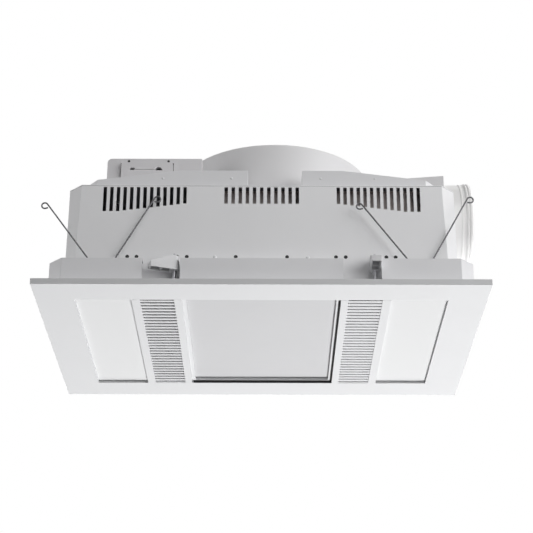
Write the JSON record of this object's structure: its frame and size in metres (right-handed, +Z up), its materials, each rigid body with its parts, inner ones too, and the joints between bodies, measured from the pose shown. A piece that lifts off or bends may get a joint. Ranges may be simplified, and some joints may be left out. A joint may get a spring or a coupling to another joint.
{
  "type": "bathroom ceiling heater",
  "caption": "Recessed ceiling unit with radiant heat panels, louvred air intakes, a centre light and an exhaust fan with a side duct spigot behind a drop-down fascia.",
  "frame": {"origin": "middle of the fascia's underside, at the lowest plane of the unit", "axes": "+X along the long side towards the duct spigot, +Y away from the front, +Z up into the ceiling"},
  "size_m": [0.58, 0.423, 0.2404],
  "materials": {
    "fascia_white": "satin white moulding",
    "white_glass": "opaque white glass",
    "diffuser": "frosted",
    "tray_aluminium": "plain",
    "coated_steel": "satin powder coat",
    "grey_steel": "satin powder coat",
    "inner_plastic": "plain",
    "fan_plastic": "moulded",
    "duct_plastic": "moulded",
    "impeller_plastic": "moulded",
    "motor_body": "cast",
    "reflector_aluminium": "polished",
    "heat_tube": "frosted quartz",
    "clamp_plastic": "moulded",
    "nut_brass": "turned",
    "screw_steel": "zinc plated",
    "spring_wire": "drawn wire",
    "bracket_steel": "zinc plated"
  },
  "bodies": {
    "housing": {"cable_clamp": "grey_steel", "duct_spigot": "duct_plastic", "fan_housing": "fan_plastic", "fan_motor": "motor_body", "fan_pan": "fan_plastic", "heat_reflector_left": "reflector_aluminium", "heat_reflector_right": "reflector_aluminium", "heat_tube_left": "heat_tube", "heat_tube_right": "heat_tube", "housing_end_left": "coated_steel", "housing_end_right": "coated_steel", "housing_front": "coated_steel", "housing_rear": "coated_steel", "housing_roof": "coated_steel", "light_driver": "inner_plastic", "mount_rail_front": "coated_steel", "mount_rail_left": "coated_steel", "mount_rail_rear": "coated_steel", "mount_rail_right": "coated_steel", "roof_hood_left": "coated_steel", "roof_hood_right": "coated_steel", "terminal_box": "grey_steel", "terminal_strip": "inner_plastic"},
    "fascia": {"fascia_front": "fascia_white", "fascia_left": "fascia_white", "fascia_rear": "fascia_white", "fascia_right": "fascia_white", "glass_panel_left": "white_glass", "glass_panel_right": "white_glass", "light_bezel": "fascia_white", "light_diffuser": "diffuser", "light_tray": "tray_aluminium", "louvre_frame_left": "fascia_white", "louvre_frame_right": "fascia_white", "spring_bracket_front_left": "bracket_steel", "spring_bracket_front_right": "bracket_steel", "spring_bracket_rear_left": "bracket_steel", "spring_bracket_rear_right": "bracket_steel"},
    "fan_impeller": {"fan_impeller": "impeller_plastic"},
    "backdraft_flap": {"backdraft_flap": "duct_plastic"},
    "clamp_arm_front_left": {"clamp_arm_front_left": "clamp_plastic"},
    "clamp_arm_front_right": {"clamp_arm_front_right": "clamp_plastic"},
    "clamp_arm_rear_left": {"clamp_arm_rear_left": "clamp_plastic"},
    "clamp_arm_rear_right": {"clamp_arm_rear_right": "clamp_plastic"},
    "clamp_nut_front_left": {"clamp_nut_front_left": "nut_brass"},
    "clamp_nut_front_right": {"clamp_nut_front_right": "nut_brass"},
    "clamp_nut_rear_left": {"clamp_nut_rear_left": "nut_brass"},
    "clamp_nut_rear_right": {"clamp_nut_rear_right": "nut_brass"},
    "clamp_screw_front_left": {"clamp_screw_front_left": "screw_steel"},
    "clamp_screw_front_right": {"clamp_screw_front_right": "screw_steel"},
    "clamp_screw_rear_left": {"clamp_screw_rear_left": "screw_steel"},
    "clamp_screw_rear_right": {"clamp_screw_rear_right": "screw_steel"},
    "spring_coil_leg_front_left": {"spring_coil_leg_front_left": "spring_wire"},
    "spring_coil_leg_front_right": {"spring_coil_leg_front_right": "spring_wire"},
    "spring_coil_leg_rear_left": {"spring_coil_leg_rear_left": "spring_wire"},
    "spring_coil_leg_rear_right": {"spring_coil_leg_rear_right": "spring_wire"},
    "spring_free_leg_front_left": {"spring_free_leg_front_left": "spring_wire"},
    "spring_free_leg_front_right": {"spring_free_leg_front_right": "spring_wire"},
    "spring_free_leg_rear_left": {"spring_free_leg_rear_left": "spring_wire"},
    "spring_free_leg_rear_right": {"spring_free_leg_rear_right": "spring_wire"}
  },
  "joints": [
    {"name": "fascia_drop", "type": "slide", "parent": "housing", "child": "fascia", "axis": [0, 0, -1], "range_m": [0, 0.06], "stiffness_N_per_m": 400, "springref_m": -0.1},
    {"name": "spring_coil_fold_front_left", "type": "hinge", "parent": "fascia", "child": "spring_coil_leg_front_left", "pos_m": [-0.2045, -0.1785, 0.0287], "axis": [0, 1, 0], "range_deg": [0, 25]},
    {"name": "spring_free_fold_front_left", "type": "hinge", "parent": "fascia", "child": "spring_free_leg_front_left", "pos_m": [-0.2045, -0.1785, 0.0287], "axis": [0, 1, 0], "range_deg": [-25, 0]},
    {"name": "spring_coil_fold_front_right", "type": "hinge", "parent": "fascia", "child": "spring_coil_leg_front_right", "pos_m": [0.2045, -0.1785, 0.0287], "axis": [0, 1, 0], "range_deg": [0, 25]},
    {"name": "spring_free_fold_front_right", "type": "hinge", "parent": "fascia", "child": "spring_free_leg_front_right", "pos_m": [0.2045, -0.1785, 0.0287], "axis": [0, 1, 0], "range_deg": [-25, 0]},
    {"name": "spring_coil_fold_rear_right", "type": "hinge", "parent": "fascia", "child": "spring_coil_leg_rear_right", "pos_m": [0.2045, 0.1785, 0.0287], "axis": [0, 1, 0], "range_deg": [-25, 0]},
    {"name": "spring_free_fold_rear_right", "type": "hinge", "parent": "fascia", "child": "spring_free_leg_rear_right", "pos_m": [0.2045, 0.1785, 0.0287], "axis": [0, 1, 0], "range_deg": [0, 25]},
    {"name": "spring_coil_fold_rear_left", "type": "hinge", "parent": "fascia", "child": "spring_coil_leg_rear_left", "pos_m": [-0.2045, 0.1785, 0.0287], "axis": [0, 1, 0], "range_deg": [-25, 0]},
    {"name": "spring_free_fold_rear_left", "type": "hinge", "parent": "fascia", "child": "spring_free_leg_rear_left", "pos_m": [-0.2045, 0.1785, 0.0287], "axis": [0, 1, 0], "range_deg": [0, 25]},
    {"name": "clamp_turn_front_left", "type": "hinge", "parent": "housing", "child": "clamp_screw_front_left", "pos_m": [-0.11135, -0.1785, 0.02], "axis": [0, 0, 1], "range_deg": [0, 6300]},
    {"name": "clamp_travel_front_left", "type": "slide", "parent": "housing", "child": "clamp_nut_front_left", "axis": [0, 0, -1], "range_m": [0, 0.014]},
    {"name": "clamp_swing_front_left", "type": "hinge", "parent": "clamp_nut_front_left", "child": "clamp_arm_front_left", "pos_m": [-0.11135, -0.1785, 0.04], "axis": [0, 0, 1], "range_deg": [-20, 70]},
    {"name": "clamp_turn_front_right", "type": "hinge", "parent": "housing", "child": "clamp_screw_front_right", "pos_m": [0.14525, -0.1785, 0.02], "axis": [0, 0, 1], "range_deg": [0, 6300]},
    {"name": "clamp_travel_front_right", "type": "slide", "parent": "housing", "child": "clamp_nut_front_right", "axis": [0, 0, -1], "range_m": [0, 0.014]},
    {"name": "clamp_swing_front_right", "type": "hinge", "parent": "clamp_nut_front_right", "child": "clamp_arm_front_right", "pos_m": [0.14525, -0.1785, 0.04], "axis": [0, 0, 1], "range_deg": [-90, 0]},
    {"name": "clamp_turn_rear_right", "type": "hinge", "parent": "housing", "child": "clamp_screw_rear_right", "pos_m": [0.11135, 0.1785, 0.02], "axis": [0, 0, 1], "range_deg": [0, 6300]},
    {"name": "clamp_travel_rear_right", "type": "slide", "parent": "housing", "child": "clamp_nut_rear_right", "axis": [0, 0, -1], "range_m": [0, 0.014]},
    {"name": "clamp_swing_rear_right", "type": "hinge", "parent": "clamp_nut_rear_right", "child": "clamp_arm_rear_right", "pos_m": [0.11135, 0.1785, 0.04], "axis": [0, 0, 1], "range_deg": [-20, 70]},
    {"name": "clamp_turn_rear_left", "type": "hinge", "parent": "housing", "child": "clamp_screw_rear_left", "pos_m": [-0.14525, 0.1785, 0.02], "axis": [0, 0, 1], "range_deg": [0, 6300]},
    {"name": "clamp_travel_rear_left", "type": "slide", "parent": "housing", "child": "clamp_nut_rear_left", "axis": [0, 0, -1], "range_m": [0, 0.014]},
    {"name": "clamp_swing_rear_left", "type": "hinge", "parent": "clamp_nut_rear_left", "child": "clamp_arm_rear_left", "pos_m": [-0.14525, 0.1785, 0.04], "axis": [0, 0, 1], "range_deg": [-90, 0]},
    {"name": "fan_spin", "type": "hinge", "parent": "housing", "child": "fan_impeller", "pos_m": [0.0175, 0, 0.15], "axis": [0, 0, 1], "continuous": true},
    {"name": "flap_swing", "type": "hinge", "parent": "housing", "child": "backdraft_flap", "pos_m": [0.254, -0.0547, 0.158], "axis": [0, -1, 0], "range_deg": [0, 75]}
  ],
  "couplings": [
    {"joint": "spring_coil_fold_front_left", "follows": "fascia_drop", "rad_per_m": 7.27},
    {"joint": "spring_free_fold_front_left", "follows": "fascia_drop", "rad_per_m": -7.27},
    {"joint": "spring_coil_fold_front_right", "follows": "fascia_drop", "rad_per_m": 7.27},
    {"joint": "spring_free_fold_front_right", "follows": "fascia_drop", "rad_per_m": -7.27},
    {"joint": "spring_coil_fold_rear_right", "follows": "fascia_drop", "rad_per_m": -7.27},
    {"joint": "spring_free_fold_rear_right", "follows": "fascia_drop", "rad_per_m": 7.27},
    {"joint": "spring_coil_fold_rear_left", "follows": "fascia_drop", "rad_per_m": -7.27},
    {"joint": "spring_free_fold_rear_left", "follows": "fascia_drop", "rad_per_m": 7.27},
    {"joint": "clamp_turn_front_left", "follows": "clamp_travel_front_left", "rad_per_m": 7854},
    {"joint": "clamp_turn_front_right", "follows": "clamp_travel_front_right", "rad_per_m": 7854},
    {"joint": "clamp_turn_rear_right", "follows": "clamp_travel_rear_right", "rad_per_m": 7854},
    {"joint": "clamp_turn_rear_left", "follows": "clamp_travel_rear_left", "rad_per_m": 7854}
  ]
}
